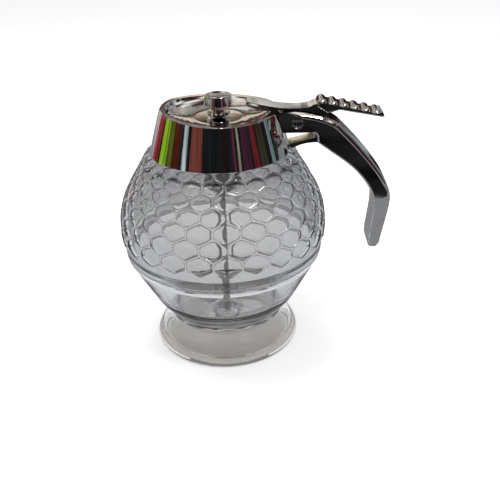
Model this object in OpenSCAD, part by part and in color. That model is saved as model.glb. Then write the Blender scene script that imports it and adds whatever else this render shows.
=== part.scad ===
// Lever-operated honey dispenser: a honeycomb jar in two clear halves, standing in a clear foot,
// with a plated lid whose thumb lever lifts a spring-loaded stopper off the outlet.
// The jar's axis is Z, the table is z = 0 and the handle points along +X.

/* [Foot] */
// Widest radius of the foot
foot_r = 32.8; // [31:0.1:36]
// Height of the foot's collar, where the jar stands
foot_h = 15; // [13.5:0.1:17]
// Outer radius of the collar
collar_r = 25.9; // [24.5:0.1:27]
// Wall of the foot
foot_wall = 2.2; // [1.6:0.1:2.8]
// Radius of the foot's rounded edge
foot_edge = 1.9; // [1.2:0.1:2.4]
// Height of the drip tray above the table
tray_z = 3; // [2.4:0.1:3.6]

/* [Jar] */
// Radius of the plain band at the jar's seam
band_r = 43.5; // [42.8:0.1:44]
// Height of the seam above the table
seam_z = 45.5; // [43:0.5:48]
// Height of the plain band
band_h = 5.5; // [5:0.1:7]
// Wall of the jar
jar_wall = 2.4; // [2:0.1:2.8]
// Widest radius of the honeycomb dome, in its cells
dome_r = 44.6; // [44:0.1:46]
// Height at which the dome is widest
dome_z = 57; // [56:0.5:60]
// Height of the dome's shoulder, under the lid
shoulder_z = 90.1; // [87:0.1:93]
// Radius of the shoulder
shoulder_r = 31.2; // [30.4:0.1:32]
// Inner radius of the jar's mouth
mouth_r = 20.9; // [19.5:0.1:21.2]
// Height of the neck above the shoulder
neck_h = 10.8; // [9.5:0.1:11]

/* [Honeycomb] */
// Cells round the jar
cells_around = 25; // [22:1:28]
// Whole rows of cells below the half row at the shoulder
cell_rows = 6; // [5:1:7]
// Height of the centres of the lowest row
first_row_z = 57.6; // [57:0.1:59]
// How far the ribs stand out between the cells
rib_h = 0.6; // [0.3:0.05:0.9]
// Angle of the first cell from the handle
comb_turn = 1.8; // [0:0.1:14]
// Share of a cell's width inside its ribs
cell_open = 0.84; // [0.78:0.01:0.9]

/* [Outlet] */
// Bore of the outlet
outlet_r = 4; // [3:0.1:4.5]
// Wall round the outlet
outlet_wall = 2.1; // [1.6:0.1:2.6]
// Height of the outlet's mouth above the table
outlet_z = 5.6; // [5:0.1:6.2]
// Radius of the stopper
stopper_r = 6.2; // [5.6:0.1:6.6]
// Height of the stopper above its seat
stopper_h = 6; // [4:0.1:8]

/* [Lid] */
// Outer radius of the lid's lower edge
lid_r = 29.4; // [28.6:0.1:30]
// Outer radius of the lid's rim
rim_r = 24.1; // [23.8:0.1:25]
// Height of the lid from its lower edge to the rim's high points
lid_h = 18.6; // [18:0.1:19.5]
// How far the rim dips in front of the lever
rim_dip = 2.2; // [1:0.1:2.4]
// Distance from the jar's axis to the lowest point of the rim, towards the handle
rim_low_x = 8; // [4:0.5:11]
// Wall of the lid's skirt
skirt_wall = 1.8; // [1.4:0.1:2]
// Thickness of the lid's deck
deck_t = 1.9; // [1.6:0.1:2.4]
// Height of the screw collar inside the lid
screw_h = 9.6; // [8:0.1:10]
// Wall of the screw collar
screw_wall = 1.4; // [1.2:0.1:1.6]
// Thickness of the sealing ring
seal_t = 1.4; // [1:0.1:1.6]

/* [Handle] */
// Width of the handle
handle_w = 15; // [14:0.1:18]
// Reach of the handle from the jar's axis
handle_reach = 72; // [69:0.1:75]
// Height of the handle's lower end above the table
handle_end_z = 46.5; // [42:0.5:52]
// Thickness of the handle below the bend
handle_t = 7; // [6:0.1:8.5]
// Thickness of the handle at its lower end
handle_tip_t = 5.3; // [4:0.1:6]
// Width of the web under the handle's root
web_w = 8; // [5:0.1:9]
// Thickness of that web
web_t = 1.8; // [1.5:0.1:2.4]

/* [Lever] */
// Width of the thumb pad
pad_w = 10.4; // [9.5:0.1:12]
// Width of the lever's arm
arm_w = 8; // [7.4:0.1:8.6]
// Distance of the lever's pin from the jar's axis
pin_x = 32.3; // [31.6:0.1:33]
// Radius of the pin
pin_r = 1; // [0.8:0.05:1.2]
// Radius of the pin's head
pin_head_r = 2.5; // [2:0.1:2.8]
// Height of the lever's front end
lever_nose_h = 4.1; // [3.4:0.1:4.6]
// Thickness of the fork
fork_t = 1.3; // [1:0.1:1.5]
// Ribs on the thumb pad
pad_ribs = 6; // [5:1:7]
// Radius of a rib
pad_rib_r = 2.05; // [1.8:0.05:2.2]

/* [Plunger] */
// Radius of the rod
rod_r = 1.5; // [1.2:0.05:1.7]
// Radius of the knob's head
knob_r = 5.9; // [5:0.1:6.2]
// Height of the knob's head
knob_h = 4; // [3:0.1:4.6]
// Radius of the knob's lower flange
flange_r = 4.9; // [4.2:0.1:5.1]
// Outer radius of the spring housing
housing_r = 6.6; // [6.2:0.1:7.4]
// Wall of the spring housing
housing_wall = 1.5; // [1.2:0.1:1.8]
// Length of the spring housing
housing_h = 28.6; // [27:0.1:31]
// Length of the spring
spring_h = 16.4; // [15:0.1:18]
// Turns of the spring
spring_turns = 7; // [5:1:8]
// Diameter of the spring wire
wire_d = 0.8; // [0.6:0.05:1]

/* [Fits] */
// Radial clearance of a part that slides or turns on another
run_gap = 0.05; // [0.02:0.01:0.1]
// Gap beside a part that moves clear of another
side_gap = 0.25; // [0.2:0.05:0.35]
// Gap between the jar's neck and the lid's screw collar
screw_gap = 0.3; // [0.3:0.05:0.5]

/* [Hidden] */
$fn = 96;
eps = 0.01;
nothing = 0.001;

clear = [0.86, 0.9, 0.9, 0.55];
chrome = [0.78, 0.79, 0.8];
steel = [0.62, 0.63, 0.65];

// Points of a cubic curve from a to d, drawn towards b and c
function curve(a, b, c, d, n = 12) = [for (i = [0:n]) let (t = i / n, u = 1 - t)
    u * u * u * a + 3 * u * u * t * b + 3 * u * t * t * c + t * t * t * d];
// Points of an arc about c
function arc(c, r, from, to, n = 6) = [for (i = [0:n]) let (t = from + (to - from) * i / n)
    c + r * [cos(t), sin(t)]];
function turned(list) = [for (i = [len(list) - 1:-1:0]) list[i]];
function part_of(list, from, to) = [for (i = [from:to]) list[i]];

module ring(outline) {
    rotate_extrude() polygon(outline);
}
// An outline in X and Z, extruded to a width along Y
module across(width) {
    translate([0, width / 2, 0]) rotate([90, 0, 0]) linear_extrude(width) children();
}

// ---- the foot ----
tray_t = 1.6;
tray_rise = tray_z - tray_t;
foot_brim_z = foot_edge * 1.9;
collar_bore = collar_r - foot_wall;
foot_outline = concat(
    [[foot_r - foot_edge - foot_wall, 0]],
    arc([foot_r - foot_edge, foot_edge], foot_edge, -90, 40),
    curve([foot_r - 0.6, foot_brim_z], [foot_r - 1.5, foot_brim_z + 2.6], [collar_r + 1.7, foot_h - 3.4],
          [collar_r, foot_h - 0.5], 10),
    [[collar_r - 0.5, foot_h], [collar_bore, foot_h]],
    curve([collar_bore, foot_h - 2.8], [collar_bore + 1, foot_h - 5], [foot_r - foot_wall - 2, foot_brim_z + 2],
          [foot_r - foot_wall - 1.8, tray_z + 1.2], 8),
    [[foot_r - foot_wall - 3, tray_z], [0, tray_z], [0, tray_rise],
     [foot_r - foot_edge - foot_wall - 0.8, tray_rise]]);

module foot() {
    color(clear) ring(foot_outline);
}

// ---- the lower half of the jar ----
spigot_r = collar_bore - side_gap;
spigot_z = foot_h - 2.4;
outlet_top_z = outlet_z + 3;
lap_h = 4;
lap_t = 1.3;
tongue_r = band_r - lap_t - run_gap;
seat_slope = 1.1;
seat_top_r = stopper_r + 1.4;
seat_top_z = outlet_top_z + (seat_top_r - outlet_r) / seat_slope;
bowl_knee = [33.9, foot_h + 12.2];
bowl_knee_in = bowl_knee - [jar_wall * 1.12, 0];
bowl_outline = concat(
    [[outlet_r, outlet_z], [outlet_r + outlet_wall, outlet_z], [outlet_r + outlet_wall, outlet_top_z],
     [spigot_r - 1.2, spigot_z], [spigot_r, spigot_z + 0.8], [spigot_r, foot_h], [collar_r, foot_h]],
    curve([collar_r, foot_h + 0.5], [collar_r + 1, foot_h + 2.6], [bowl_knee[0] - 2.1, foot_h + 7.5], bowl_knee, 10),
    curve([band_r - 1.9, seam_z - 3.6], [band_r - 1.1, seam_z - 2.2], [band_r - 0.4, seam_z - 1.4],
          [band_r - 0.3, seam_z], 5),
    [[tongue_r, seam_z], [tongue_r, seam_z + lap_h - side_gap], [tongue_r - 0.9, seam_z + lap_h - side_gap]],
    [[band_r - 1.9 - jar_wall * 1.05, seam_z - 3.6]],
    turned(curve([collar_r - 2.4, foot_h + 2.2], [collar_r - 0.6, foot_h + 4.6], [bowl_knee_in[0] - 1.9, foot_h + 9],
                 bowl_knee_in, 8)),
    [[seat_top_r + 2, seat_top_z + 0.5], [seat_top_r, seat_top_z], [outlet_r, outlet_top_z]]);

module jar_bowl() {
    color(clear) ring(bowl_outline);
}

// ---- the honeycomb half of the jar ----
band_top = seam_z + band_h;
band_top_r = band_r + 0.4;
dome_foot_r = band_top_r + 0.3;
dome_line = concat(
    curve([dome_foot_r, band_top], [dome_r - 0.1, band_top + 1.4], [dome_r, dome_z - 2.4], [dome_r, dome_z], 8),
    part_of(curve([dome_r, dome_z], [dome_r, dome_z + (shoulder_z - dome_z) * 0.473],
                  [shoulder_r + 5.6, shoulder_z - 11.5], [shoulder_r, shoulder_z], 32), 1, 32));
dome_n = len(dome_line);

// Distance up the dome in units of its own radius, so that cells of equal size here keep their shape
// on the dome and shrink towards the shoulder
function rise(i) = 2 * norm(dome_line[i + 1] - dome_line[i]) / (dome_line[i + 1][0] + dome_line[i][0]);
climb = [for (i = 0, s = 0; i < dome_n; s = s + (i < dome_n - 1 ? rise(i) : 0), i = i + 1) s];
function edge_dir(i) = let (d = dome_line[min(i + 1, dome_n - 1)] - dome_line[max(i - 1, 0)]) d / norm(d);
radius_at = [for (i = [0:dome_n - 1]) [climb[i], dome_line[i][0]]];
height_at = [for (i = [0:dome_n - 1]) [climb[i], dome_line[i][1]]];
out_r_at = [for (i = [0:dome_n - 1]) [climb[i], edge_dir(i)[1]]];
out_z_at = [for (i = [0:dome_n - 1]) [climb[i], -edge_dir(i)[0]]];
climb_at = [for (i = [0:dome_n - 1]) [dome_line[i][1], climb[i]]];

// A point on the dome, at a climb and an angle, lifted off it by h
function on_dome(c, a, h) = let (r = lookup(c, radius_at) + h * lookup(c, out_r_at))
    [r * cos(a + comb_turn), r * sin(a + comb_turn), lookup(c, height_at) + h * lookup(c, out_z_at)];

pitch_a = 360 / cells_around;
top_climb = climb[dome_n - 1];
first_climb = lookup(first_row_z, climb_at);
pitch_c = (top_climb - first_climb) / cell_rows;
side_c = 0.57 * pitch_c;
slant_c = pitch_c - side_c;
cell_floor = cell_open - 0.1;
corner_a = [0, 1, 1, 0, -1, -1] * pitch_a / 2;
corner_c = [side_c / 2 + slant_c, side_c / 2, -side_c / 2, -side_c / 2 - slant_c, -side_c / 2, side_c / 2];

function row_shift(k) = (k % 2) / 2;
function cell_angle(k, j) = (j + row_shift(k)) * pitch_a;
function cell_climb(k) = first_climb + k * pitch_c;
// Six corners of a cell, shrunk about its centre; the half row at the shoulder ends at its centres
function corners(k, j, share, h) = [for (i = [0:5])
    on_dome(min(cell_climb(k) + corner_c[i] * share, top_climb), cell_angle(k, j) + corner_a[i] * share, h)];

cell_points = [for (k = [0:cell_rows]) for (j = [0:cells_around - 1])
    each concat([on_dome(cell_climb(k), cell_angle(k, j), 0)], corners(k, j, cell_floor, 0),
                corners(k, j, cell_open, rib_h))];
per_cell = 13;
function cell(k, j) = (k * cells_around + (j + cells_around) % cells_around) * per_cell;
function floor_i(k, j, c) = cell(k, j) + 1 + c % 6;
function top_i(k, j, c) = cell(k, j) + 7 + c % 6;
function right_up(k, j) = j + k % 2;
function left_up(k, j) = j + k % 2 - 1;

// Floor and sloping sides of each cell
cell_faces = [for (k = [0:cell_rows]) for (j = [0:cells_around - 1]) for (c = [0:5])
    if (k < cell_rows || (c > 0 && c < 5))
        each [[cell(k, j), floor_i(k, j, c), floor_i(k, j, c + 1)],
              [floor_i(k, j, c), top_i(k, j, c), top_i(k, j, c + 1)],
              [floor_i(k, j, c), top_i(k, j, c + 1), floor_i(k, j, c + 1)]]];
// Tops of the ribs between a cell, its right-hand neighbour and the two above
rib_faces = concat(
    [for (k = [0:cell_rows]) for (j = [0:cells_around - 1])
        each [[top_i(k, j, 1), top_i(k, j + 1, 5), top_i(k, j + 1, 4)],
              [top_i(k, j, 1), top_i(k, j + 1, 4), top_i(k, j, 2)]]],
    [for (k = [0:cell_rows - 1]) for (j = [0:cells_around - 1])
        let (r = right_up(k, j), l = left_up(k, j))
        each [[top_i(k, j, 0), top_i(k + 1, r, 4), top_i(k + 1, r, 3)],
              [top_i(k, j, 0), top_i(k + 1, r, 3), top_i(k, j, 1)],
              [top_i(k, j, 5), top_i(k + 1, l, 3), top_i(k + 1, l, 2)],
              [top_i(k, j, 5), top_i(k + 1, l, 2), top_i(k, j, 0)],
              [top_i(k, j, 1), top_i(k + 1, r, 3), top_i(k, j + 1, 5)],
              [top_i(k, j, 0), top_i(k + 1, l, 2), top_i(k + 1, r, 4)]]]);

// Rings of points, two to a cell: the zigzag rib under the lowest row, the band's edge, then the
// shoulder, the mouth and the inside of the wall
around = 2 * cells_around;
zig = 0.026;
zig_top = [for (i = [0:around - 1]) i % 2 == 0
    ? on_dome(first_climb + corner_c[3] - zig, i * pitch_a / 2, rib_h)
    : on_dome(first_climb + corner_c[2] - zig * 1.4, i * pitch_a / 2, rib_h)];
zig_foot = [for (i = [0:around - 1]) i % 2 == 0
    ? on_dome(first_climb + corner_c[3] - zig * 1.8, i * pitch_a / 2, 0)
    : on_dome(first_climb + corner_c[2] - zig * 2.3, i * pitch_a / 2, 0)];
function circle_of(r, z) = [for (i = [0:around - 1]) let (a = i * pitch_a / 2 + comb_turn) [r * cos(a), r * sin(a), z]];
shoulder_t = 2.6;
neck_r = mouth_r + jar_wall;
inside_line = concat(
    [[shoulder_r - 1.2, shoulder_z], [mouth_r + 0.9, shoulder_z], [mouth_r + 0.9, shoulder_z - shoulder_t],
     [neck_r + 1, shoulder_z - shoulder_t]],
    [for (i = [dome_n - 3:-4:2]) [dome_line[i][0] - jar_wall * edge_dir(i)[1],
                                  min(dome_line[i][1] + jar_wall * edge_dir(i)[0] * 0.6, shoulder_z - shoulder_t - 0.3)]],
    [[dome_foot_r - jar_wall - 0.4, band_top]]);
rings = concat([for (p = inside_line) circle_of(p[0], p[1])], [circle_of(dome_foot_r, band_top), zig_foot, zig_top]);
ring_base = len(cell_points);
function ring_i(n, i) = ring_base + n * around + (i + around) % around;
last_ring = len(rings) - 1;
ring_faces = [for (n = [0:last_ring - 1]) for (i = [0:around - 1])
    each [[ring_i(n + 1, i), ring_i(n + 1, i + 1), ring_i(n, i + 1)],
          [ring_i(n + 1, i), ring_i(n, i + 1), ring_i(n, i)]]];
low_faces = [for (j = [0:cells_around - 1]) let (p = ring_i(last_ring, 2 * j), v = ring_i(last_ring, 2 * j + 1),
                                               u = ring_i(last_ring, 2 * j - 1))
    each [[top_i(0, j, 4), top_i(0, j, 3), p], [top_i(0, j, 4), p, u],
          [top_i(0, j, 3), top_i(0, j, 2), v], [top_i(0, j, 3), v, p],
          [top_i(0, j, 2), top_i(0, j + 1, 4), v]]];
shoulder_faces = [for (j = [0:cells_around - 1])
    let (k = cell_rows, m = 2 * j + k % 2, t = ring_i(0, m), u = ring_i(0, m - 1), v = ring_i(0, m + 1))
    each [[u, t, floor_i(k, j, 5)], [u, floor_i(k, j, 5), top_i(k, j, 5)], [t, cell(k, j), floor_i(k, j, 5)],
          [t, floor_i(k, j, 1), cell(k, j)], [t, v, floor_i(k, j, 1)], [v, top_i(k, j, 1), floor_i(k, j, 1)],
          [v, top_i(k, j + 1, 5), top_i(k, j, 1)]]];

module honeycomb() {
    polyhedron(concat(cell_points, [for (r = rings) each r]),
               concat(cell_faces, rib_faces, ring_faces, low_faces, shoulder_faces), 10);
}

neck_top = shoulder_z + neck_h;
module neck() {
    ring([[mouth_r, shoulder_z - shoulder_t - 0.4], [neck_r, shoulder_z - shoulder_t - 0.4], [neck_r, neck_top - 0.5],
          [neck_r - 0.5, neck_top], [mouth_r + 0.5, neck_top], [mouth_r, neck_top - 0.5]]);
}
module band() {
    root = 1.2;
    wall_in = dome_foot_r - jar_wall + 0.2;
    ring([[band_r - lap_t, seam_z], [band_r - 0.3, seam_z], [band_r, seam_z + 0.3], [band_top_r, band_top],
          [dome_foot_r - 0.8, band_top], [dome_foot_r - 0.8, band_top + root], [wall_in + 0.5, band_top + root],
          [wall_in + 0.5, band_top], [wall_in, band_top], [wall_in, seam_z + lap_h], [band_r - lap_t, seam_z + lap_h]]);
}
module jar_dome() {
    color(clear) union() {
        honeycomb();
        neck();
        band();
    }
}

// ---- the lid, with its handle ----
skirt_z = shoulder_z + 0.3;
rim_z = skirt_z + lid_h;
function skirt_at(z) = lid_r + (rim_r - lid_r) * (z - skirt_z) / lid_h;
deck_under = neck_top + seal_t + run_gap;
deck_z = deck_under + deck_t;
deck_flat = 10;
rim_in = rim_r - 2.5;
boss_h = 5.2;
boss_wall = 1.4;
guide_r = rod_r + run_gap;
screw_bore = neck_r + screw_gap;
lid_outline = concat(
    [[lid_r - skirt_wall, skirt_z], [lid_r - 0.3, skirt_z], [lid_r, skirt_z + 0.3]],
    [[skirt_at(rim_z - 1.2), rim_z - 1.2]],
    arc([rim_r - 1.1, rim_z - 1.2], 1.2, 0, 180, 8),
    curve([rim_in, rim_z - 2], [rim_in - 1.5, deck_z + 0.8], [deck_flat + 4, deck_z], [deck_flat, deck_z], 8),
    [[guide_r, deck_z], [guide_r, deck_under], [housing_r + run_gap, deck_under],
     [housing_r + run_gap, deck_under - boss_h], [housing_r + boss_wall, deck_under - boss_h],
     [housing_r + boss_wall, deck_under], [screw_bore, deck_under], [screw_bore, deck_under - screw_h],
     [screw_bore + screw_wall, deck_under - screw_h], [skirt_at(deck_under) - skirt_wall, deck_under - 2.2]]);

// The rim is highest opposite the handle and dips towards it
dip_run = rim_r + rim_low_x;
dip_r = (dip_run * dip_run + rim_dip * rim_dip) / (2 * rim_dip);
module rim_cut() {
    translate([rim_low_x, 0, rim_z - rim_dip + dip_r]) rotate([90, 0, 0])
        cylinder(h = 4 * rim_r, r = dip_r, center = true, $fn = 200);
}

// The handle's side outline, in X and Z. Its root runs out level from the lid over a light slot with
// a web below it, then the handle bends down beside the jar.
root_top_z = rim_z - 1.7;
root_low_z = root_top_z - 8.2;
root_x = lid_r - 4;
hip = [root_x + 23.8, root_top_z - 5.6];
bend_z = handle_end_z + 22;
knee = [root_x + 15.1, root_top_z - 12.7];
inner_bend = [handle_reach - handle_t, bend_z - 2];
handle_back = concat(
    curve([root_x + 2.6, root_top_z], [root_x + 9.6, root_top_z + 0.2], hip + [-3.5, 3.3], hip, 7),
    part_of(curve(hip, hip + [6, -5.9], [handle_reach + 0.6, bend_z + 9.5], [handle_reach, bend_z], 12), 1, 12),
    part_of(curve([handle_reach, bend_z], [handle_reach - 0.1, bend_z - 5], [handle_reach - 2.2, handle_end_z + 9],
                  [handle_reach - 3.3, handle_end_z + 1.6], 5), 1, 5));
handle_front = concat(
    curve([handle_reach - 3.3 - handle_tip_t, handle_end_z + 1.2], [inner_bend[0] - 1.3, handle_end_z + 9],
          inner_bend + [0.3, -5], inner_bend, 5),
    part_of(curve(inner_bend, inner_bend + [0, 4], inner_bend + [-2.6, 9.4], inner_bend + [-7.8, 15], 6), 1, 6),
    part_of(curve(inner_bend + [-7.8, 15], inner_bend + [-12, 19.6], knee + [7, -5.4], knee, 7), 1, 7));
handle_outline = concat(handle_back,
    [[handle_reach - 4.3, handle_end_z], [handle_reach - 2.7 - handle_tip_t, handle_end_z]], handle_front,
    [knee + [-0.2, 3], knee + [-1.2, 4.1], [root_x + 12, root_low_z], [root_x - 0.6, root_low_z],
     [root_x - 1, root_top_z - 0.8]]);

web_foot_z = skirt_z + 0.4;
web_outline = concat(
    curve([root_x + 2.4, web_foot_z], [root_x + 6.4, web_foot_z + 0.6], [root_x + 7, knee[1] - 1.4],
          [root_x + 12.8, knee[1] - 0.9], 8),
    [[root_x + 16.2, knee[1] - 0.8], [root_x + 16.2, knee[1] + 1.4]],
    turned(curve([root_x + 1.8, web_foot_z + 1.9], [root_x + 5, web_foot_z + 2.6],
                 [root_x + 8, knee[1] - 1.2 + web_t * 0.4], [root_x + 14, knee[1] - 0.6 + web_t], 6)));

// The groove along the handle's back, which takes the lever's belly
groove_w = arm_w + 2;
pin_z = root_top_z - 4.2;
ear_r = pin_r + 1.1;
groove_z = pin_z - ear_r + 0.7;
groove_outline = concat(
    [[root_x + 1.2, root_top_z + 1], [root_x + 1.2, root_top_z - 2.4], [root_x + 2.2, groove_z - 0.95]],
    curve([root_x + 13.4, groove_z - 0.95], [root_x + 21.6, groove_z - 0.95], hip + [2, -5.6], hip + [12.4, -15.6], 10),
    curve(hip + [14.4, -17.8], hip + [17, -20.6], [handle_reach - 2.4, bend_z + 8.5], [handle_reach + 0.4, bend_z + 4], 5),
    [[handle_reach + 4, bend_z + 12], [handle_reach + 4, root_top_z + 1]]);

module handle() {
    difference() {
        union() {
            across(handle_w) polygon(handle_outline);
            across(web_w) polygon(web_outline);
        }
        across(groove_w) polygon(groove_outline);
    }
}
module pin_holes() {
    translate([pin_x, 0, pin_z]) rotate([90, 0, 0]) {
        cylinder(h = handle_w + 2, r = pin_r + run_gap, center = true);
        translate([0, 0, handle_w / 2 - pin_head_t]) cylinder(h = 2, r = pin_head_r + run_gap);
    }
}
module lid() {
    color(chrome) difference() {
        union() {
            difference() {
                ring(lid_outline);
                rim_cut();
            }
            handle();
        }
        pin_holes();
    }
}

// ---- the sealing ring in the lid ----
module lid_seal() {
    color([0.85, 0.85, 0.83]) ring([[mouth_r + 0.2, neck_top + run_gap], [neck_r - 0.1, neck_top + run_gap],
                                    [neck_r - 0.1, deck_under], [mouth_r + 0.2, deck_under]]);
}

// ---- the lever ----
pin_head_t = 0.7;
lever_low = rim_z - 1.6;
nose_x = 11.4;
tip_x = pin_x + 35.1;
waist_z = pin_z + 4.75;
pad_z = pin_z + 4.3;
pad_drop = 3.2;
first_rib = [pin_x + 9.7, pin_z + 6.8];
last_rib = [tip_x - 3.4, pin_z + 2.05];
fork_gap = 0.4;
fork_low = lever_low + 0.5;
fork_top = fork_low + fork_t;
stem_r = rod_r + 1.1;
function rib_at(i) = first_rib + (last_rib - first_rib) * i / (pad_ribs - 1);

belly = concat([[pin_x + ear_r * 0.5, pin_z - ear_r * 0.86]],
    curve([pin_x + 4, pin_z - 0.9], [pin_x + 9, pin_z + 1], [pin_x + 13, pin_z + 3], [pin_x + 17, pad_z], 4));
module arm_side() {
    polygon(concat(
        [[nose_x, lever_low], [pin_x - 4, lever_low], [pin_x - ear_r, pin_z + 0.6], [pin_x - ear_r, pin_z]],
        belly, [first_rib + [6, -0.6], first_rib + [-0.4, 0.6]],
        curve([pin_x + 6.6, pin_z + 6.6], [pin_x + 3.4, waist_z - 0.6], [pin_x - 8, waist_z],
              [nose_x + 1, lever_low + lever_nose_h - 0.2], 8),
        [[nose_x + 0.3, lever_low + lever_nose_h - 0.4], [nose_x, lever_low + lever_nose_h - 1]]));
    translate([pin_x, pin_z]) circle(ear_r);
}
module pad_side() {
    polygon(concat([[pin_x + 12, pin_z + 3.1], [pin_x + 17, pad_z]],
                   [[tip_x - 0.8, pad_z - pad_drop], [tip_x, pad_z - pad_drop + 0.4], [tip_x - 0.8, pad_z - 1.1]],
                   [last_rib + [0, 0.6], first_rib + [1, 0.6], first_rib + [-0.8, 0.6], first_rib + [-2, -0.8]]));
}
// A rib of the thumb pad, with round ends
module pad_rib(p) {
    half = pad_w / 2;
    translate([p[0], 0, p[1]]) rotate([90, 0, 0]) rotate_extrude($fn = 48)
        polygon(concat(arc([0, half - pad_rib_r], pad_rib_r, 90, 0, 6), arc([0, pad_rib_r - half], pad_rib_r, 0, -90, 6)));
}
module lever() {
    color(chrome) difference() {
        union() {
            across(arm_w) arm_side();
            across(pad_w) pad_side();
            for (i = [0:pad_ribs - 1]) pad_rib(rib_at(i));
            // The fork that lifts the knob
            translate([-stem_r, -arm_w / 2 + 0.2, fork_low]) cube([nose_x + stem_r + 2, arm_w - 0.4, fork_t]);
        }
        translate([0, 0, lever_low - 1]) cylinder(h = fork_t + 3, r = stem_r + fork_gap);
        translate([-2 * stem_r, -stem_r - fork_gap, lever_low - 1])
            cube([2 * stem_r, 2 * (stem_r + fork_gap), fork_t + 3]);
        translate([pin_x, 0, pin_z]) rotate([90, 0, 0])
            cylinder(h = arm_w + 2, r = pin_r + run_gap, center = true);
        // Underside of the pad
        across(pad_w + 2) polygon(concat(part_of(belly, 1, 5),
            [[tip_x - 0.8, pad_z - pad_drop], [tip_x + 2, pad_z - pad_drop], [tip_x + 2, pad_z - 9],
             [pin_x + 4, pad_z - 9]]));
    }
}

module lever_pin() {
    length = handle_w - 0.4;
    color(steel) translate([pin_x, 0, pin_z]) rotate([90, 0, 0]) {
        translate([0, 0, 0.2 - handle_w / 2]) cylinder(h = length - 0.2, r = pin_r);
        translate([0, 0, handle_w / 2 - pin_head_t]) cylinder(h = pin_head_t - 0.1, r = pin_head_r);
    }
}

// ---- the plunger ----
knob_low = fork_top + 0.3;
groove_low = fork_low - 1.4;
knob_foot = deck_z + 0.4;
rod_top = knob_low + knob_h - 1.2;
stopper_seat_gap = 0.2;
stopper_tip_z = outlet_top_z + stopper_seat_gap * 1.4;
stopper_wide_z = stopper_tip_z + (stopper_r - outlet_r) / seat_slope;
rod_foot = stopper_tip_z + 1.6;

module rod_knob() {
    color(chrome) ring(concat(
        [[rod_r + run_gap / 2, knob_foot], [flange_r - 0.8, knob_foot], [flange_r, groove_low - 0.5],
         [flange_r - 0.2, groove_low], [stem_r, groove_low], [stem_r, knob_low], [knob_r - 0.2, knob_low],
         [knob_r, knob_low + 0.3]],
        arc([knob_r - 0.8, knob_low + knob_h - 0.8], 0.8, 0, 90, 5),
        [[knob_r - 1.8, knob_low + knob_h - 0.3], [0, knob_low + knob_h - 0.4], [0, rod_top + nothing],
         [rod_r + run_gap / 2, rod_top + nothing]]));
}
module plunger_rod() {
    color(steel) translate([0, 0, rod_foot]) cylinder(h = rod_top - rod_foot, r = rod_r);
}
module stopper() {
    bore = rod_r + run_gap / 2;
    color([0.75, 0.76, 0.76]) ring(concat(
        [[0, stopper_tip_z], [outlet_r - 0.3, stopper_tip_z], [stopper_r, stopper_wide_z],
         [stopper_r, stopper_wide_z + 1.2]],
        curve([stopper_r - 0.6, stopper_wide_z + 1.9], [stopper_r - 2, stopper_wide_z + 2.4],
              [rod_r + 1.8, stopper_wide_z + stopper_h * 0.5], [rod_r + 1.2, stopper_wide_z + stopper_h], 6),
        [[bore, stopper_wide_z + stopper_h], [bore, rod_foot - nothing], [0, rod_foot - nothing]]));
}

// ---- the spring and what holds it ----
housing_in = housing_r - housing_wall;
housing_top = deck_under;
nose_h = 6.6;
nose_z = housing_top - housing_h;
collar_z = deck_under - 0.1 - spring_h;
collar_t = 1.2;
module spring_housing() {
    color(steel) ring([[guide_r, nose_z], [housing_r - 3.4, nose_z], [housing_r - 0.2, nose_z + nose_h],
                       [housing_r, nose_z + nose_h + 0.6], [housing_r, housing_top], [housing_in, housing_top],
                       [housing_in, nose_z + nose_h], [housing_in - 2.6, nose_z + 2.4], [guide_r, nose_z + 2.4]]);
}
module spring_collar() {
    color(steel) ring([[rod_r + run_gap / 2, collar_z - collar_t], [housing_in - 0.4, collar_z - collar_t],
                       [housing_in - 0.4, collar_z], [rod_r + run_gap / 2, collar_z]]);
}

// One unbroken wire: its ends stand straight on the collar and under the deck
spring_r = (rod_r + housing_in) / 2;
curl_steps = 8;
wire_sides = 6;
coil_low = collar_z + 2 * wire_d;
coil_rise = spring_h - 4 * wire_d;
coil_n = spring_turns * curl_steps;
wire_line = concat(
    [[spring_r, 0, collar_z + 0.05], [spring_r, 0, collar_z + wire_d]],
    [for (i = [1:coil_n - 1]) [spring_r * cos(i * 360 / curl_steps), spring_r * sin(i * 360 / curl_steps),
                               coil_low + coil_rise * i / coil_n]],
    [[spring_r, 0, collar_z + spring_h - wire_d], [spring_r, 0, collar_z + spring_h - 0.05]]);
wire_n = len(wire_line);
function unit(v) = v / norm(v);
function wire_dir(i) = i < 2 || i > wire_n - 3 ? [0, 0, 1]
    : unit(wire_line[min(i + 1, wire_n - 1)] - wire_line[max(i - 1, 0)]);
// Sides of the wire, measured from the spring's axis
function wire_ring(i) = let (d = wire_dir(i), p = wire_line[i], o = unit([p[0], p[1], 0]),
                             s = unit(cross(d, o)), u = cross(s, d))
    [for (k = [0:wire_sides - 1]) p + wire_d / 2 * (cos(k * 60) * u + sin(k * 60) * s)];
wire_points = [for (i = [0:wire_n - 1]) each wire_ring(i)];
function wire_i(i, k) = i * wire_sides + k % wire_sides;
wire_faces = concat(
    [for (i = [0:wire_n - 2]) for (k = [0:wire_sides - 1])
        each [[wire_i(i, k), wire_i(i + 1, k), wire_i(i + 1, k + 1)], [wire_i(i, k), wire_i(i + 1, k + 1), wire_i(i, k + 1)]]],
    [for (k = [1:wire_sides - 2]) each [[0, k, k + 1], [wire_i(wire_n - 1, 0), wire_i(wire_n - 1, k + 1), wire_i(wire_n - 1, k)]]]);
// Least distance between the wire's surface and itself, a turn or so away
wire_gap = min([for (i = [0:wire_n - 1]) for (j = [i + 5:1:wire_n - 1]) norm(wire_line[i] - wire_line[j])]) - wire_d;
echo(least_gap_of_spring_wire = wire_gap);

module spring() {
    color(steel) polyhedron(wire_points, wire_faces, 4);
}

foot();
jar_bowl();
jar_dome();
lid();
lid_seal();
lever();
lever_pin();
plunger_rod();
rod_knob();
spring();
spring_collar();
spring_housing();
stopper();
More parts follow.
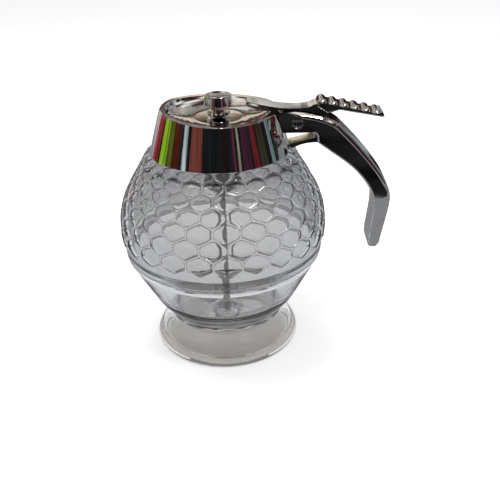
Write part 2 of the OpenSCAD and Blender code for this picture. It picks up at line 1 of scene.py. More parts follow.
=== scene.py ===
import bpy, bmesh, math
from mathutils import Matrix, Vector


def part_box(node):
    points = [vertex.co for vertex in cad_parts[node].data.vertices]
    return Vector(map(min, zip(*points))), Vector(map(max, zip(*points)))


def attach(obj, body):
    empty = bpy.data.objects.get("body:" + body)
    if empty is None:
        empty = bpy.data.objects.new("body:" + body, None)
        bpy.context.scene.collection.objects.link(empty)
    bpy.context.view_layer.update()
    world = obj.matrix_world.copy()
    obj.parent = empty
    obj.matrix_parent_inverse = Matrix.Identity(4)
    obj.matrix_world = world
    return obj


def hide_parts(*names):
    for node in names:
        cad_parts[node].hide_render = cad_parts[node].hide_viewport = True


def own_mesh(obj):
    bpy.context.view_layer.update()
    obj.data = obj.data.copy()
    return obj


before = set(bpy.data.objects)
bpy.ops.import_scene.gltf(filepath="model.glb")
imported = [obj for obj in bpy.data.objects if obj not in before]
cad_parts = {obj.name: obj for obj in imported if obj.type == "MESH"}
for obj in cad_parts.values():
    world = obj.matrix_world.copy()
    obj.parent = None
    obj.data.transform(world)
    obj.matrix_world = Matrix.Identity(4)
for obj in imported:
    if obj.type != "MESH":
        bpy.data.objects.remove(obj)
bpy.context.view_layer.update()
print("frame loaded")

mm = 0.001  # the pieces' dictionaries are in millimetres and degrees


def addObject(name, data):
    obj = bpy.data.objects.new(name, data)
    bpy.context.collection.objects.link(obj)
    return obj


def addMesh(bm, name, mat):
    mesh = bpy.data.meshes.new(name)
    bm.to_mesh(mesh)
    bm.free()
    mesh.materials.append(mat)
    return addObject(name, mesh)


# The camera, as the photograph was taken: places in metres, "down", "roll" and "yaw" in radians
camera = {"lens": 49.56, "sensor": 36, "near": 0.01, "far": 50, "back": 0.27658, "up": 0.18894,
          "down": 0.4904, "roll": -0.0248, "yaw": 0.0417, "turn": math.radians(4)}


def makeCamera(c):
    turn = Matrix.Rotation(c["turn"], 3, "Z")
    place = turn @ Vector((0, -c["back"], c["up"]))
    level = math.cos(c["down"])
    look = turn @ Vector((math.sin(c["yaw"]) * level, math.cos(c["yaw"]) * level, -math.sin(c["down"])))
    right = turn @ Vector((math.cos(c["yaw"]), -math.sin(c["yaw"]), 0))
    up = right.cross(look)
    side = math.cos(c["roll"]) * right + math.sin(c["roll"]) * up
    head = -math.sin(c["roll"]) * right + math.cos(c["roll"]) * up
    data = bpy.data.cameras.new("photoCamera")
    data.lens, data.sensor_width = c["lens"], c["sensor"]
    data.clip_start, data.clip_end = c["near"], c["far"]
    obj = addObject("photoCamera", data)
    obj.matrix_world = Matrix((*[(side[i], head[i], -look[i], place[i]) for i in range(3)], (0, 0, 0, 1)))
    bpy.context.scene.camera = obj


makeCamera(camera)
bpy.context.scene.view_settings.view_transform = "Standard"
print("camera placed")


# Shared steps of the materials
def newMaterial(name, **sockets):
    mat = bpy.data.materials.new(name)
    mat.use_nodes = True
    for key, value in sockets.items():
        socket = socketOf(mat, key.replace("_", " "))
        socket.default_value = (*value, 1) if isinstance(value, tuple) else value
    return mat


def socketOf(mat, name):
    return mat.node_tree.nodes["Principled BSDF"].inputs[name]


def node(mat, kind, **values):
    made = mat.node_tree.nodes.new(kind)
    for key, value in values.items():
        if hasattr(made, key):
            setattr(made, key, value)
        else:
            made.inputs[key].default_value = value
    return made


def link(mat, a, b):
    mat.node_tree.links.new(a, b)


# Noise on the piece's own place, at a scale in waves per metre
def grain(mat, scale, detail=3.0, stretch=(1, 1, 1)):
    place = node(mat, "ShaderNodeTexCoord")
    spread = node(mat, "ShaderNodeMapping", Scale=stretch)
    noise = node(mat, "ShaderNodeTexNoise", Scale=scale, Detail=detail)
    link(mat, place.outputs["Object"], spread.inputs["Vector"])
    link(mat, spread.outputs["Vector"], noise.inputs["Vector"])
    return noise.outputs["Fac"]


noiseSpan = (0.3, 0.7)  # nearly all of a noise's values lie between these


# A value between two limits brought to a new span
def mapRange(mat, value, limits, low=0, high=1):
    fit = node(mat, "ShaderNodeMapRange")
    for key, number in zip(("From Min", "From Max", "To Min", "To Max"), (*limits, low, high)):
        fit.inputs[key].default_value = number
    link(mat, value, fit.inputs["Value"])
    return fit.outputs["Result"]


def roughen(mat, value, low, high):
    link(mat, mapRange(mat, value, noiseSpan, low, high), socketOf(mat, "Roughness"))


def bump(mat, value, strength, depth):
    made = node(mat, "ShaderNodeBump", Strength=strength, Distance=depth)
    link(mat, value, made.inputs["Height"])
    link(mat, made.outputs["Normal"], socketOf(mat, "Normal"))


# From one colour to another; each is three numbers or what another node gives
def blendColours(mat, factor, first, second):
    mix = node(mat, "ShaderNodeMix", data_type="RGBA")
    for place, colour in ((6, first), (7, second)):
        if isinstance(colour, tuple):
            mix.inputs[place].default_value = (*colour, 1)
        else:
            link(mat, colour, mix.inputs[place])
    link(mat, factor, mix.inputs[0])
    return mix.outputs[2]


def tint(mat, value, dark, light):
    link(mat, blendColours(mat, mapRange(mat, value, noiseSpan), dark, light), socketOf(mat, "Base Color"))


# Clear plastic, greyer and bluer towards its edges, where the eye looks through more of it. Its grey is partly
# painted shade: it stands in for the darker surroundings seen through the plastic
plastic = {"ior": 1.45, "flow": (60, 2, (1, 1, 0.5)), "edge": 0.35, "uneven": 0.25, "skin": (900, 4),
           "rough": (0.0, 0.05), "ripple": (0.02, 0.0002)}


def makeAcrylic(name, face, edge, tray=None):
    mat = newMaterial(name, Transmission_Weight=1.0, IOR=plastic["ior"])
    flow = grain(mat, *plastic["flow"])
    side = node(mat, "ShaderNodeLayerWeight", Blend=plastic["edge"])
    uneven = node(mat, "ShaderNodeMath", operation="MULTIPLY_ADD")
    uneven.inputs[1].default_value = plastic["uneven"]
    link(mat, flow, uneven.inputs[0])
    link(mat, side.outputs["Facing"], uneven.inputs[2])
    colour = blendColours(mat, uneven.outputs[0], face, edge)
    if tray:  # painted shade: darker and warmer from the table up to the tray
        place = node(mat, "ShaderNodeTexCoord")
        split = node(mat, "ShaderNodeSeparateXYZ")
        link(mat, place.outputs["Object"], split.inputs[0])
        rise = mapRange(mat, split.outputs["Z"], (tray["low"] * mm, tray["high"] * mm))
        colour = blendColours(mat, rise, tray["colour"], colour)
    link(mat, colour, socketOf(mat, "Base Color"))
    roughen(mat, grain(mat, *plastic["skin"]), *plastic["rough"])
    bump(mat, flow, *plastic["ripple"])
    return mat


plating = {"wipe": (140, 5, (1, 1, 2.5)), "dark": (0.76, 0.77, 0.78), "light": (0.86, 0.86, 0.86),
           "rough": (0.02, 0.07), "waves": (320, 2), "ripple": (0.04, 0.0002)}


def makeChrome():
    mat = newMaterial("chromePlating", Metallic=1.0)
    wipe = grain(mat, *plating["wipe"])
    tint(mat, wipe, plating["dark"], plating["light"])
    roughen(mat, wipe, *plating["rough"])
    bump(mat, grain(mat, *plating["waves"]), *plating["ripple"])
    return mat


steel = {"lines": (2500, 4), "groove": (0.1, 0.00005)}


def makeSteel(name, dark, light, rough, stretch):
    mat = newMaterial(name, Metallic=1.0)
    drawn = grain(mat, *steel["lines"], stretch)
    tint(mat, drawn, dark, light)
    roughen(mat, drawn, *rough)
    bump(mat, drawn, *steel["groove"])
    return mat


soft = {"shine": 0.4, "ior": 1.41, "skin": (1500, 5), "cloud": (180, 3), "pits": (0.15, 0.0001)}


def makeSoft(name, dark, light, rough, through=0.0):
    mat = newMaterial(name, Specular_IOR_Level=soft["shine"], Transmission_Weight=through, IOR=soft["ior"])
    skin = grain(mat, *soft["skin"])
    tint(mat, grain(mat, *soft["cloud"]), dark, light)
    roughen(mat, skin, *rough)
    bump(mat, skin, *soft["pits"])
    return mat


# Painted shade on the foot: a darker, warmer grey from the table up to the tray
trayPaintedShade = {"low": 3.2, "high": 8.0, "colour": (0.64, 0.615, 0.585)}
# Partly painted shade: each piece's grey tint stands in for the darker surroundings seen through it, and is set
# piece by piece
combAcrylic = makeAcrylic("combAcrylic", (0.545, 0.545, 0.53), (0.44, 0.46, 0.53))
bowlAcrylic = makeAcrylic("bowlAcrylic", (0.77, 0.77, 0.755), (0.68, 0.7, 0.77))
footAcrylic = makeAcrylic("footAcrylic", (0.88, 0.88, 0.87), (0.74, 0.77, 0.82), trayPaintedShade)
chrome = makeChrome()
# The rod steel's dark tone is partly painted reflection: it stands in for the dark surroundings the rod mirrors
rodSteel = makeSteel("drawnSteel", (0.2, 0.2, 0.21), (0.36, 0.36, 0.36), (0.12, 0.28), (1, 1, 0.02))
wireSteel = makeSteel("springSteel", (0.42, 0.42, 0.43), (0.66, 0.66, 0.66), (0.15, 0.35), (1, 1, 1))
darkSteel = makeSteel("satinHousing", (0.16, 0.16, 0.17), (0.34, 0.34, 0.35), (0.2, 0.4), (1, 1, 0.05))
sealPlastic = makeSoft("sealPlastic", (0.74, 0.74, 0.71), (0.84, 0.84, 0.82), (0.4, 0.6))
silicone = makeSoft("stopperSilicone", (0.8, 0.8, 0.79), (0.9, 0.9, 0.89), (0.12, 0.25), 0.9)

finishOf = {"foot": footAcrylic, "jar_bowl": bowlAcrylic, "jar_dome": combAcrylic,
            "lid": chrome, "lever": chrome, "rod_knob": chrome,
            "plunger_rod": rodSteel, "lever_pin": rodSteel, "spring_collar": rodSteel,
            "spring": wireSteel, "spring_housing": darkSteel,
            "lid_seal": sealPlastic, "stopper": silicone}
for name, mat in finishOf.items():
    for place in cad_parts[name].material_slots:
        place.material = mat
print("materials made")


# Shared shaping. A curve is two ends with a handle each, from first to last, and its number of steps
def curvePoints(a, b, c, d, count):
    a, b, c, d = (Vector(p) for p in (a, b, c, d))
    found = []
    for i in range(count + 1):
        t = i / count
        u = 1 - t
        found.append(u * u * u * a + 3 * u * u * t * b + 3 * u * t * t * c + t * t * t * d)
    return found


def finishPiece(bm, name, mat, body, stands, sharp=0):
    obj = addMesh(bm, name, mat)
    obj.data.shade_smooth()
    if sharp:
        obj.data.set_sharp_from_angle(angle=math.radians(sharp))
    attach(obj, body)
    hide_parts(*stands)
    return obj


def extrudeEdges(bm, edges):
    made = bmesh.ops.extrude_edge_only(bm, edges=edges)["geom"]
    return ([g for g in made if isinstance(g, bmesh.types.BMVert)],
            [g for g in made if isinstance(g, bmesh.types.BMEdge)])


# The honeycomb half of the jar. The cells start as a flat sheet, "flatR" is the radius it is rolled from
comb = {"cells": 25, "rows": 7, "turn": 1.8, "flatR": 40.0, "hexHalf": 0.8660254,
        "lowRow": 57.6,  # height of the lowest row's middles
        "side": 0.57,  # a cell's upright side, as a share of the rise from row to row
        "rib": 0.42, "ribShare": 0.052, "slopeShare": 0.068,  # a rib's height, half width and slope
        "skirt": 1.1, "hemSlope": 2.0, "crisp": 0.85, "levels": 2, "weld": (0.05, 0.02),
        "low": ((44.2, 51.0), (44.5, 52.4), (44.6, 54.6), (44.6, 57.0), 8),
        "slope": ((44.6, 57.0), (44.6, 72.6563), (36.8, 78.6), (31.2, 90.1), 32),
        "slopeEnd": 89.1, "fadeFrom": 89, "fade": 0.45,  # the ribs sink towards the shoulder
        "shoulder": [(31.2, 89.62), (30.7, 89.93), (30.0, 90.02), (28.5, 90.02), (27.2, 90.02), (25.5, 90.02)],
        "wall": 2.4, "innerStep": 4, "innerRise": 0.6, "innerTop": 86.9, "innerEnd": 87, "middle": 70,
        # Rings of radius, height and crease: the lower rim with its groove, then the neck
        "hem": [(43.95, 50.92, 0.9), (43.9, 50.5, 0.3), (43.52, 45.85, 0.5), (43.2, 45.5, 0.5),
                (42.2, 45.5, 0.9), (42.2, 49.5, 0.9), (41.95, 49.55, 0.6), (41.8, 51.2, 0.0)],
        "neck": [(25.0, 87.45, 0.3), (21.0, 87.2, 0.8), (20.9, 87.8, 0.3), (20.9, 100.3, 0.3),
                 (21.4, 100.9, 0.5), (22.8, 100.9, 0.5), (23.3, 100.3, 0.3), (23.3, 91.0, 0.3),
                 (24.2, 90.05, 0.3)]}


def combLine():
    slope = [p for p in curvePoints(*comb["slope"])[1:] if p.y < comb["slopeEnd"]]
    return curvePoints(*comb["low"]) + slope + [Vector(p) for p in comb["shoulder"]]


# How far each point is up the sheet: cells keep their shape where the jar narrows
def makeClimb(line):
    climbs = [0.0]
    for a, b in zip(line, line[1:]):
        climbs.append(climbs[-1] + 2 * (b - a).length / (a.x + b.x))
    return climbs


def honeycombDome():
    c = comb
    line = combLine()
    climbs = makeClimb(line)
    flat = c["flatR"]

    def at(climb):  # the outline's point and its outward direction
        i = max(i for i in range(len(climbs) - 1) if climbs[i] <= max(climb, 0))
        share = (climb - climbs[i]) / (climbs[i + 1] - climbs[i])
        before = line[max(i - 1, 0)]
        after = line[min(i + 2, len(line) - 1)]
        run = (line[i + 1] - before).normalized().lerp((after - line[i]).normalized(), share).normalized()
        return line[i].lerp(line[i + 1], share), Vector((run.y, -run.x))

    lowClimb = next(low + (c["lowRow"] - a.y) / (b.y - a.y) * (high - low)
                    for a, b, low, high in zip(line, line[1:], climbs, climbs[1:]) if b.y > c["lowRow"])
    top = c["slope"][3]
    last = len([p for p in line if p.y < c["slopeEnd"]]) - 1
    topClimb = climbs[last] + 2 * (Vector(top) - line[last]).length / (top[0] + line[last].x)
    rise = (topClimb - lowClimb) / (c["rows"] - 1)
    width = math.radians(360 / c["cells"]) * flat
    apothem = width / 2
    half = c["side"] / 2 * rise * flat
    point = (1 - c["side"] / 2) * rise * flat

    # A flat sheet of cells, welded along their edges, each with its rib, slope and floor
    bm = bmesh.new()
    for k in range(c["rows"]):
        for j in range(c["cells"]):
            for v in bmesh.ops.create_circle(bm, cap_ends=True, segments=6, radius=1)["verts"]:
                x, y = v.co.x, v.co.y
                reach = point if abs(y) > 0.7 else half  # a tip, or a corner of an upright side
                v.co = Vector(((j + (k % 2) / 2) * width + x / c["hexHalf"] * width / 2,
                               (lowClimb + k * rise) * flat + math.copysign(reach, y), c["rib"]))
    bmesh.ops.remove_doubles(bm, verts=bm.verts, dist=c["weld"][0])
    bmesh.ops.recalc_face_normals(bm, faces=bm.faces)
    if bm.faces[:][0].normal.z < 0:
        bmesh.ops.reverse_faces(bm, faces=bm.faces)
    cells = bm.faces[:]
    for share, depth in ((c["ribShare"], 0), (c["slopeShare"], -c["rib"])):
        bmesh.ops.inset_individual(bm, faces=cells, thickness=share * apothem, depth=depth, use_even_offset=True)
    crease = bm.edges.layers.float.new("crease_edge")
    for e in [e for cell in cells for e in cell.edges]:
        for near in [near for face in e.link_faces for near in face.edges]:
            near[crease] = c["crisp"]

    # The part cells at both ends close into the plain bands
    slanted = [e for e in bm.edges if e.is_boundary and abs(e.verts[0].co.x - e.verts[1].co.x) > 0.1]
    topRow, lowRow = (lowClimb + (c["rows"] - 1) * rise) * flat, lowClimb * flat
    tops = [e for e in slanted if all(v.co.y > topRow for v in e.verts)]
    lows = [e for e in slanted if all(v.co.y < lowRow for v in e.verts)]

    def grow(edges, shift, height, level=None):
        verts, made = extrudeEdges(bm, edges)
        for v in verts:
            v.co.y = level if level is not None else v.co.y + shift
            v.co.z = height
        return made

    edge = c["ribShare"] * apothem * c["skirt"]
    slope = c["slopeShare"] * apothem * c["skirt"]
    tops = grow(grow(tops, edge, c["rib"]), slope, 0)
    lows = grow(grow(lows, -edge, c["rib"]), -slope * c["hemSlope"], 0)
    grow(lows, 0, 0, 0.0)
    grow(tops, 0, 0, climbs[-2] * flat)

    # The sheet is wrapped round the jar
    for v in bm.verts:
        p, out = at(min(v.co.y / flat, climbs[-1]))
        lift = v.co.z * (1 if p.y < c["fadeFrom"] else c["fade"])
        r = p.x + lift * out.x
        a = v.co.x / flat + math.radians(c["turn"])
        v.co = Vector((r * math.cos(a), r * math.sin(a), p.y + lift * out.y))
    bmesh.ops.remove_doubles(bm, verts=bm.verts, dist=c["weld"][1])

    # Ring by ring under the hem, up the inner wall and round the neck, back to the shoulder
    openEdges = [e for e in bm.edges if e.is_boundary]
    rim = [e for e in openEdges if e.verts[0].co.z > c["middle"]]
    hem = [e for e in openEdges if e.verts[0].co.z < c["middle"]]
    inner = []
    for i in range(c["innerStep"], len(line), c["innerStep"]):
        p, out = at(climbs[i])
        if p.y < c["innerEnd"]:
            height = min(p.y - c["wall"] * out.y * c["innerRise"], c["innerTop"])
            inner.append((p.x - c["wall"] * out.x, height, 0.0))
    for r, z, sharp in [*c["hem"], *inner, *c["neck"]]:
        verts, hem = extrudeEdges(bm, hem)
        for v in verts:
            a = math.atan2(v.co.y, v.co.x)
            v.co = Vector((r * math.cos(a), r * math.sin(a), z))
        for e in hem:
            e[crease] = sharp
    bmesh.ops.bridge_loops(bm, edges=rim + hem)
    bmesh.ops.recalc_face_normals(bm, faces=bm.faces)
    bmesh.ops.scale(bm, verts=bm.verts, vec=(mm, mm, mm))
    piece = finishPiece(bm, "honeycombJar", combAcrylic, "jar", ["jar_dome"])
    smooth = piece.modifiers.new("smooth", "SUBSURF")
    smooth.levels = smooth.render_levels = c["levels"]


honeycombDome()
print("honeycomb made")


# A turned piece from its closed outline of radius and height
def spinOutline(outline, steps):
    bm = bmesh.new()
    line = [bm.verts.new((r * mm, 0, z * mm)) for r, z in outline]
    edges = [bm.edges.new(pair) for pair in zip(line, line[1:] + line[:1])]
    bmesh.ops.spin(bm, geom=line + edges, cent=(0, 0, 0), axis=(0, 0, 1), angle=math.radians(360), steps=steps,
                   use_merge=True)
    bmesh.ops.remove_doubles(bm, verts=bm.verts, dist=1e-6)
    bmesh.ops.recalc_face_normals(bm, faces=bm.faces)
    return bm


# The foot: a rolled edge on the table, a flared wall and a tray that closes it. 0.001 is its middle
foot = {"rim": 32.8, "edge": 1.9, "arc": range(-90, 41, 13), "steps": 128,
        "outside": ((32.2, 3.61), (31.3, 6.21), (27.6, 11.6), (25.9, 14.5), 12),
        "lip": ((25.9, 14.5), (25.9, 15.0), (24.1, 15.02), (23.7, 14.5), 6),
        "inside": ((23.7, 12.2), (24.7, 10.0), (28.6, 5.61), (28.8, 4.2), 10),
        "corner": ((28.8, 4.2), (28.7, 3.0), (28.2, 3.0), (26.6, 3.0), 5),
        "tray": [(0.001, 3.0), (0.001, 1.4)],
        "under": ((26.5, 1.4), (27.5, 1.4), (28.1, 0.05), (29.0, 0), 6)}


def turnedFoot():
    f = foot
    arc = [(f["rim"] - f["edge"] + f["edge"] * math.cos(math.radians(a)),
            f["edge"] + f["edge"] * math.sin(math.radians(a))) for a in f["arc"]]
    outline = [*arc, *curvePoints(*f["outside"]), *curvePoints(*f["lip"])[1:], *curvePoints(*f["inside"]),
               *curvePoints(*f["corner"])[1:], *f["tray"], *curvePoints(*f["under"])]
    finishPiece(spinOutline(outline, f["steps"]), "clearFoot", footAcrylic, "foot", ["foot"])


turnedFoot()
print("foot made")


# A CAD node's mesh with its loose triangles merged, and its flat faces made whole past a given x
def mergedCopy(nodeName, past, flat=0.4, weld=2e-6):
    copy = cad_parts[nodeName].data.copy()
    kept = copy.attributes.new("cadNormal", "FLOAT_VECTOR", "CORNER")
    kept.data.foreach_set("vector", [c for n in copy.corner_normals for c in n.vector])
    bm = bmesh.new()
    bm.from_mesh(copy)
    bpy.data.meshes.remove(copy)
    bmesh.ops.remove_doubles(bm, verts=bm.verts, dist=weld)
    bmesh.ops.dissolve_limit(bm, angle_limit=math.radians(flat), verts=[v for v in bm.verts if v.co.x > past * mm],
                             edges=[e for e in bm.edges if all(v.co.x > past * mm for v in e.verts)])
    bmesh.ops.recalc_face_normals(bm, faces=bm.faces)
    return bm


# Flat faces stay flat beside a rounded edge, and the CAD's own shading stays before a given x
def evenShading(obj, past, sharp):
    mesh = obj.data
    kept = mesh.attributes["cadNormal"].data
    around = {}
    for face in mesh.polygons:
        for v in face.vertices:
            around.setdefault(v, []).append(face)
    alike = math.cos(math.radians(sharp))
    normals = [None] * len(mesh.loops)
    for face in mesh.polygons:
        turned = all(mesh.vertices[v].co.x < past * mm for v in face.vertices)
        for corner in face.loop_indices:
            near = [f for f in around[mesh.loops[corner].vertex_index] if f.normal.dot(face.normal) > alike]
            total = sum((f.normal * f.area for f in near), Vector())
            normals[corner] = kept[corner].vector.copy() if turned else total.normalized()
    mesh.attributes.remove(mesh.attributes["cadNormal"])
    mesh.normals_split_custom_set(normals)


pinHole = (32.3, 103.1)  # x and z of the lever's pin
sideFit = {"angle": 60, "near": 0.03}  # how sharp an edge of a side is, and how close to the side it lies


# Edges along a side face, told apart by where the strip between the two sides looks
def sideEdges(bm, side, start, looks, clear):
    found = []
    for e in bm.edges:
        if len(e.link_faces) != 2 or e.calc_face_angle(0) <= math.radians(sideFit["angle"]):
            continue
        ends = [v.co / mm for v in e.verts]
        middle = (ends[0] + ends[1]) / 2
        strip = min(e.link_faces, key=lambda f: abs(f.normal.y))
        if (all(abs(abs(p.y) - side) < sideFit["near"] and p.x > start for p in ends)
                and math.hypot(middle.x - pinHole[0], middle.z - pinHole[1]) > clear and looks(strip.normal)):
            found.append(e)
    return found


# A CAD node's own shape with the long edges of its sides rounded
def roundedPiece(name, nodeName, body, look):
    bm = mergedCopy(nodeName, look["whole"])
    for side, width, looks in look["edges"]:
        edges = sideEdges(bm, side, look["start"], looks, look["clear"])
        bmesh.ops.bevel(bm, geom=edges, offset=width * mm, offset_type="OFFSET", segments=look["steps"], profile=0.5,
                        affect="EDGES", clamp_overlap=look["clamp"], material=-1)
    evenShading(finishPiece(bm, name, chrome, body, [nodeName], look["sharp"]), look["whole"],
                look["sharp"])


# The lid's handle as cast: each group is its side's y, its rounding, and the way its strip looks
handle = {"whole": 29.6, "start": 31.0, "clear": 3.2, "steps": 3, "sharp": 38, "clamp": False,
          "edges": [(7.5, 2.0, lambda n: n.x > 0.2 or n.z > 0.5),
                    (7.5, 0.8, lambda n: n.x < 0.2 and n.z < 0.5)]}
roundedPiece("castLid", "lid", "lid", handle)
print("lid made")

# The thumb lever: its arm above and below, and its pad below
thumb = {"whole": 0, "start": 10.5, "clear": 2.5, "steps": 3, "sharp": 38, "clamp": True,
         "edges": [(4.0, 1.0, lambda n: n.z > 0.3), (4.0, 0.6, lambda n: n.z < 0.3),
                   (5.2, 0.6, lambda n: n.z < 0.3)]}
roundedPiece("thumbLever", "lever", "lever", thumb)
print("lever made")

# The knob: a flat-topped cap and a foot ring, with the fork's groove between them
knob = {"ring": [(1.55, 104.65), (3.1, 104.65), (4.9, 105.6), (4.9, 106.15), (4.55, 106.5)],
        "groove": [(2.6, 106.5), (2.6, 109.5)],
        "cap": [(5.7, 109.5), (5.9, 109.7)],
        "shoulder": ((5.48, 112.85), (5.48, 113.25), (5.28, 113.45), (4.88, 113.45), 6),
        "dish": [(4.48, 113.37), (3.88, 113.1), (0.001, 113.05)],
        "bore": [(0.001, 112.3), (1.55, 112.3)], "steps": 96, "sharp": 38}


def turnedKnob():
    outline = [*knob["ring"], *knob["groove"], *knob["cap"], *curvePoints(*knob["shoulder"]), *knob["dish"],
               *knob["bore"]]
    finishPiece(spinOutline(outline, knob["steps"]), "turnedKnob", chrome, "plunger", ["rod_knob"],
                knob["sharp"])


turnedKnob()
print("knob made")

# The lever's pin, with a low domed head on the near side
pin = {"dome": ((0.001, 7.42), (1.25, 7.4), (2.375, 7.22), (2.5, 7.0), 8),
       "shaft": [(2.5, 6.8), (1.0, 6.8), (1.0, -7.05), (0.75, -7.3), (0.001, -7.3)], "steps": 64, "sharp": 38}


def turnedPin():
    bm = spinOutline([*curvePoints(*pin["dome"]), *pin["shaft"]], pin["steps"])
    bmesh.ops.rotate(bm, verts=bm.verts, matrix=Matrix.Rotation(math.radians(90), 3, "X"))
    bmesh.ops.translate(bm, verts=bm.verts, vec=Vector((pinHole[0], 0, pinHole[1])) * mm)
    finishPiece(bm, "turnedPin", rodSteel, "lid", ["lever_pin"], pin["sharp"])


turnedPin()
print("pin made")

# The spring: one round wire. "top" is its still end, in metres
coil = {"wire": 0.8, "turns": 7, "around": 28, "thick": 10, "top": 0.1023, "keep": 0.71, "sharp": 60}


def coilSpring():
    low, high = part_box("spring")
    half = coil["wire"] / 2 * mm
    steps = coil["turns"] * coil["around"]
    bm = bmesh.new()
    made = bmesh.ops.create_circle(bm, cap_ends=False, segments=coil["thick"], radius=half)["verts"]
    bmesh.ops.rotate(bm, verts=made, matrix=Matrix.Rotation(math.radians(90), 3, "X"))
    bmesh.ops.translate(bm, verts=made, vec=(high[0] - half, 0, low[2] + half))
    bmesh.ops.spin(bm, geom=bm.verts[:] + bm.edges[:], cent=(0, 0, 0), axis=(0, 0, 1),
                   dvec=(0, 0, (high[2] - low[2] - 2 * half) / steps), angle=math.radians(360 * coil["turns"]),
                   steps=steps, use_merge=False)
    bmesh.ops.holes_fill(bm, edges=[e for e in bm.edges if e.is_boundary], sides=coil["thick"])
    bmesh.ops.recalc_face_normals(bm, faces=bm.faces)
    piece = finishPiece(bm, "coilSpring", wireSteel, "lid", ["spring"], coil["sharp"])
    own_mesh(piece)


coilSpring()
print("spring made")


# Surroundings: their materials glow by themselves, so that a colour shows about as it is written
def emitter(name, build):
    mat = bpy.data.materials.new(name)
    mat.use_nodes = True
    mat.node_tree.nodes.clear()
    out = node(mat, "ShaderNodeOutputMaterial")
    link(mat, build(mat), out.inputs["Surface"])
    return mat


def glowOf(mat, colour):
    glow = node(mat, "ShaderNodeEmission")
    link(mat, colour, glow.inputs["Color"])
    return glow.outputs[0]


# 1 for rays that the camera, a mirror or a clear wall sends out
def seenRay(mat):
    path = node(mat, "ShaderNodeLightPath")
    total = node(mat, "ShaderNodeMath", operation="ADD")
    both = node(mat, "ShaderNodeMath", operation="ADD", use_clamp=True)
    link(mat, path.outputs["Is Camera Ray"], total.inputs[0])
    link(mat, path.outputs["Is Glossy Ray"], total.inputs[1])
    link(mat, total.outputs[0], both.inputs[0])
    link(mat, path.outputs["Is Transmission Ray"], both.inputs[1])
    return both.outputs[0]


# A level card across the room, in metres
def levelGrid(x, y, z):
    bm = bmesh.new()
    bmesh.ops.create_grid(bm, x_segments=1, y_segments=1, size=0.5)
    bmesh.ops.scale(bm, verts=bm.verts, vec=(x[1] - x[0], y[1] - y[0], 1))
    bmesh.ops.translate(bm, verts=bm.verts, vec=((x[0] + x[1]) / 2, (y[0] + y[1]) / 2, z))
    return bm


floorLook = {"half": 3, "colour": (0.78, 0.78, 0.78), "lift": 0.45}


def floorShader(mat):
    matt = node(mat, "ShaderNodeBsdfDiffuse", Color=(*floorLook["colour"], 1))
    glow = node(mat, "ShaderNodeEmission")
    lift = node(mat, "ShaderNodeMath", operation="MULTIPLY")
    lift.inputs[1].default_value = floorLook["lift"]
    both = node(mat, "ShaderNodeAddShader")
    link(mat, seenRay(mat), lift.inputs[0])
    link(mat, lift.outputs[0], glow.inputs["Strength"])
    link(mat, matt.outputs[0], both.inputs[0])
    link(mat, glow.outputs[0], both.inputs[1])
    return both.outputs[0]


floorSpan = (-floorLook["half"], floorLook["half"])
addMesh(levelGrid(floorSpan, floorSpan, 0), "paleFloor", emitter("paleFloor", floorShader))


# Uneven colour in upright streaks
def mottled(colour, dark=0.25, scale=40, light=1.2):
    def shade(mat):
        streaks = mapRange(mat, grain(mat, scale, 4, (1, 1, 0.35)), noiseSpan)
        return glowOf(mat, blendColours(mat, streaks, tuple(dark * c for c in colour),
                                        tuple(light * c for c in colour)))
    return shade


# A card that only the mirror finish shows
def onlyMirrored(obj):
    obj.visible_camera = False
    obj.visible_diffuse = False
    obj.visible_transmission = False
    obj.visible_shadow = False


def makeCard(name, start, end, radius, low, high, colour, step=6):
    bm = bmesh.new()
    a = math.radians(start - 90)
    bm.edges.new([bm.verts.new((radius * math.cos(a), radius * math.sin(a), z)) for z in (low, high)])
    bmesh.ops.spin(bm, geom=bm.verts[:] + bm.edges[:], cent=(0, 0, 0), axis=(0, 0, 1),
                   angle=math.radians(end - start), steps=max(1, round((end - start) / step)), use_merge=False)
    onlyMirrored(addMesh(bm, name, emitter(name, mottled(colour))))


# Upright cards round the object: angles from straight in front, radius, lowest and highest, colour
walls = {"cardWall": (-180, 180, 0.52, 0.0, 0.26, (0.012, 0.013, 0.014)),
         "darkRoom": (-110, 110, 0.53, 0.26, 0.46, (0.04, 0.03, 0.027)),
         "tableEdge": (-100, 100, 0.49, 0.0, 0.075, (0.38, 0.38, 0.37))}
for name, values in walls.items():
    makeCard(name, *values)

# The coloured goods to both sides, which the lid's band shows: angles and colour
goods = {"radius": 0.5, "high": 0.26,
         "strips": [(-180, -150, (0.14, 0.075, 0.06)), (-150, -130, (0.75, 0.6, 0.58)),
                    (-130, -112, (0.35, 0.05, 0.05)), (-108, -92, (0.3, 0.55, 0.03)),
                    (-92, -80, (0.12, 0.13, 0.02)), (-78, -66, (0.1, 0.02, 0.01)),
                    (-66, -60, (0.02, 0.02, 0.03)), (-60, -52, (0.6, 0.7, 0.7)),
                    (-46, -26, (0.2, 0.055, 0.045)), (8, 16, (0.02, 0.01, 0.01)),
                    (24, 28, (0.14, 0.035, 0.07)), (32, 36, (0.3, 0.28, 0.2)),
                    (40, 54, (0.06, 0.02, 0.04)), (58, 68, (0.15, 0.02, 0.02)),
                    (70, 84, (0.05, 0.045, 0.03)), (92, 100, (0.2, 0.28, 0.3)),
                    (108, 126, (0.5, 0.55, 0.6)), (140, 155, (0.55, 0.6, 0.62))]}
for i, (start, end, colour) in enumerate(goods["strips"]):
    makeCard(f"card{i}", start, end, goods["radius"], 0.0, goods["high"], colour)

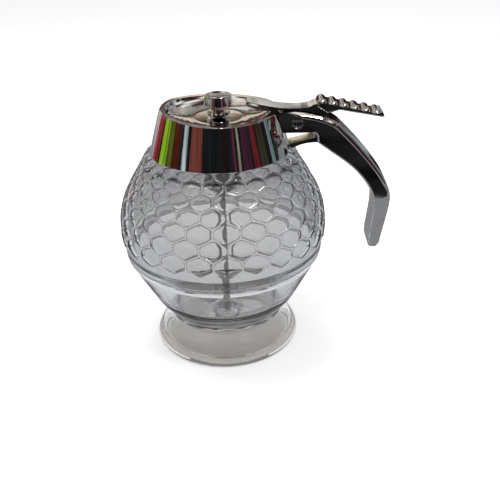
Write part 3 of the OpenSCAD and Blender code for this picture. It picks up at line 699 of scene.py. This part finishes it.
# Shelves across the room, which the lid's deck and the lever's top show: angles, heights, colour
cream, brown = (0.86, 0.73, 0.61), (0.14, 0.08, 0.06)
shelves = {"radius": 0.46,
           "strips": [(-180, -150, 0.212, 0.243, cream), (-180, -178.4, 0.243, 0.262, brown),
                      (-178.4, -174, 0.243, 0.262, (0.08, 0.085, 0.03)), (-174, -172, 0.243, 0.262, brown),
                      (-172, -150, 0.243, 0.262, cream), (150, 168, 0.212, 0.262, (0.26, 0.15, 0.12)),
                      (168, 180, 0.212, 0.243, (0.62, 0.58, 0.54)), (168, 180, 0.243, 0.262, (0.3, 0.28, 0.26))]}
for i, (start, end, low, high, colour) in enumerate(shelves["strips"]):
    makeCard(f"shelf{i}", start, end, shelves["radius"], low, high, colour)
makeCard("roomBack", 110, 250, 0.56, 0.262, 0.5, (0.46, 0.43, 0.4))


# Rows of lamps on a brown ceiling, with dark gaps between
ceiling = {"height": 1.0, "half": 2.6, "rows": 0.62, "waver": 1.6, "detail": 2,
           "steps": [(0.0, (0.03, 0.02, 0.018)), (0.3, (0.11, 0.07, 0.06)), (0.52, (0.3, 0.23, 0.19)),
                     (0.72, (0.6, 0.55, 0.5)), (0.9, (0.86, 0.84, 0.8))]}


def ceilingShader(mat):
    place = node(mat, "ShaderNodeTexCoord")
    wave = node(mat, "ShaderNodeTexWave", bands_direction="X", Scale=ceiling["rows"],
                Distortion=ceiling["waver"], Detail=ceiling["detail"])
    link(mat, place.outputs["Object"], wave.inputs["Vector"])
    ramp = node(mat, "ShaderNodeValToRGB")
    for _ in range(len(ceiling["steps"]) - 2):
        ramp.color_ramp.elements.new(0.5)
    for spot, (at, colour) in zip(ramp.color_ramp.elements, ceiling["steps"]):
        spot.position = at
        spot.color = (*colour, 1)
    link(mat, wave.outputs["Fac"], ramp.inputs["Fac"])
    return glowOf(mat, ramp.outputs["Color"])


def flatCard(name, x, y, z, build):
    onlyMirrored(addMesh(levelGrid(x, y, z), name, emitter(name, build)))


# A grey counter under the object and a dark aisle in front of it, just above the floor
counter = {"side": (-0.6, 0.6), "front": -0.166, "back": 0.5, "lift": 0.0003, "grey": (0.26, 0.262, 0.27)}
aisle = {"front": -0.52, "colour": (0.018, 0.017, 0.018), "dark": 0.15, "scale": 22}
ceilingSpan = (-ceiling["half"], ceiling["half"])
flatCard("ceiling", ceilingSpan, ceilingSpan, ceiling["height"], ceilingShader)
flatCard("counter", counter["side"], (counter["front"], counter["back"]), counter["lift"],
         lambda mat: node(mat, "ShaderNodeEmission", Color=(*counter["grey"], 1)).outputs[0])
flatCard("aisle", counter["side"], (aisle["front"], counter["front"]), counter["lift"],
         mottled(aisle["colour"], aisle["dark"], aisle["scale"]))

# A white room: its light on the object, and how bright it looks
studio = {"light": 0.55, "seen": 1.0}
world = bpy.data.worlds.new("studio")
bpy.context.scene.world = world
world.use_nodes = True
back = world.node_tree.nodes["Background"]
back.inputs["Color"].default_value = (1, 1, 1, 1)
link(world, mapRange(world, seenRay(world), (0, 1), studio["light"], studio["seen"]), back.inputs["Strength"])

# Place, size and aim in metres, power in watts
lamps = {"ceilingLamp": {"place": (-0.15, 0.1, 0.75), "size": (0.5, 0.3), "power": 3.0, "mirrored": False},
         "frontLamp": {"place": (0.3, -0.3, 0.75), "size": (0.2, 0.09), "power": 1.6, "mirrored": True}}
lampAim = (0, 0, 0.06)
for name, lamp in lamps.items():
    data = bpy.data.lights.new(name, "AREA")
    data.shape = "RECTANGLE"
    data.size, data.size_y = lamp["size"]
    data.energy = lamp["power"]
    obj = addObject(name, data)
    obj.location = lamp["place"]
    obj.visible_glossy = lamp["mirrored"]
    obj.rotation_euler = (Vector(lampAim) - Vector(lamp["place"])).to_track_quat("-Z", "Y").to_euler()
print("surroundings made")
